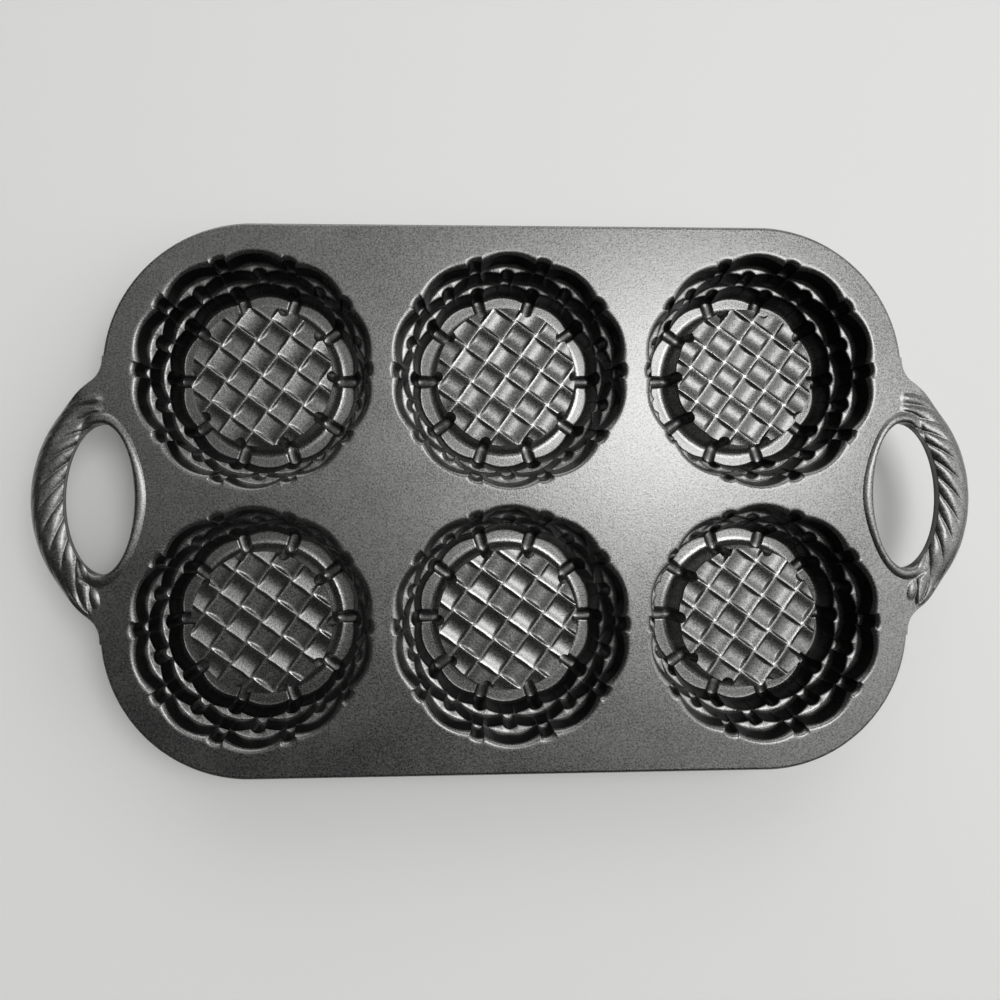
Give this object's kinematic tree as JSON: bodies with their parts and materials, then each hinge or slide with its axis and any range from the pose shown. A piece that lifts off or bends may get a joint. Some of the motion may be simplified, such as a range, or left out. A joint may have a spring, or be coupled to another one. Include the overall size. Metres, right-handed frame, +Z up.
{
  "type": "cake pan",
  "caption": "Flat cast baking pan with round basket-weave cake cups and a rope-twist loop handle at each end.",
  "frame": {"origin": "under the middle of the pan, at the level of the flat cup bottoms that it rests on", "axes": "+X along the pan through both handles, +Y across it, +Z up out of the open cups"},
  "size_m": [0.387, 0.2258, 0.0365],
  "materials": {
    "nonstick_casting": "satin graphite-grey non-stick coating on cast aluminium, with a fine metallic sparkle"
  },
  "bodies": {
    "root": {"basket_cup_back_left": "nonstick_casting", "basket_cup_back_middle": "nonstick_casting", "basket_cup_back_right": "nonstick_casting", "basket_cup_front_left": "nonstick_casting", "basket_cup_front_middle": "nonstick_casting", "basket_cup_front_right": "nonstick_casting", "deck_plate": "nonstick_casting", "rope_handle_left": "nonstick_casting", "rope_handle_right": "nonstick_casting"}
  },
  "joints": []
}
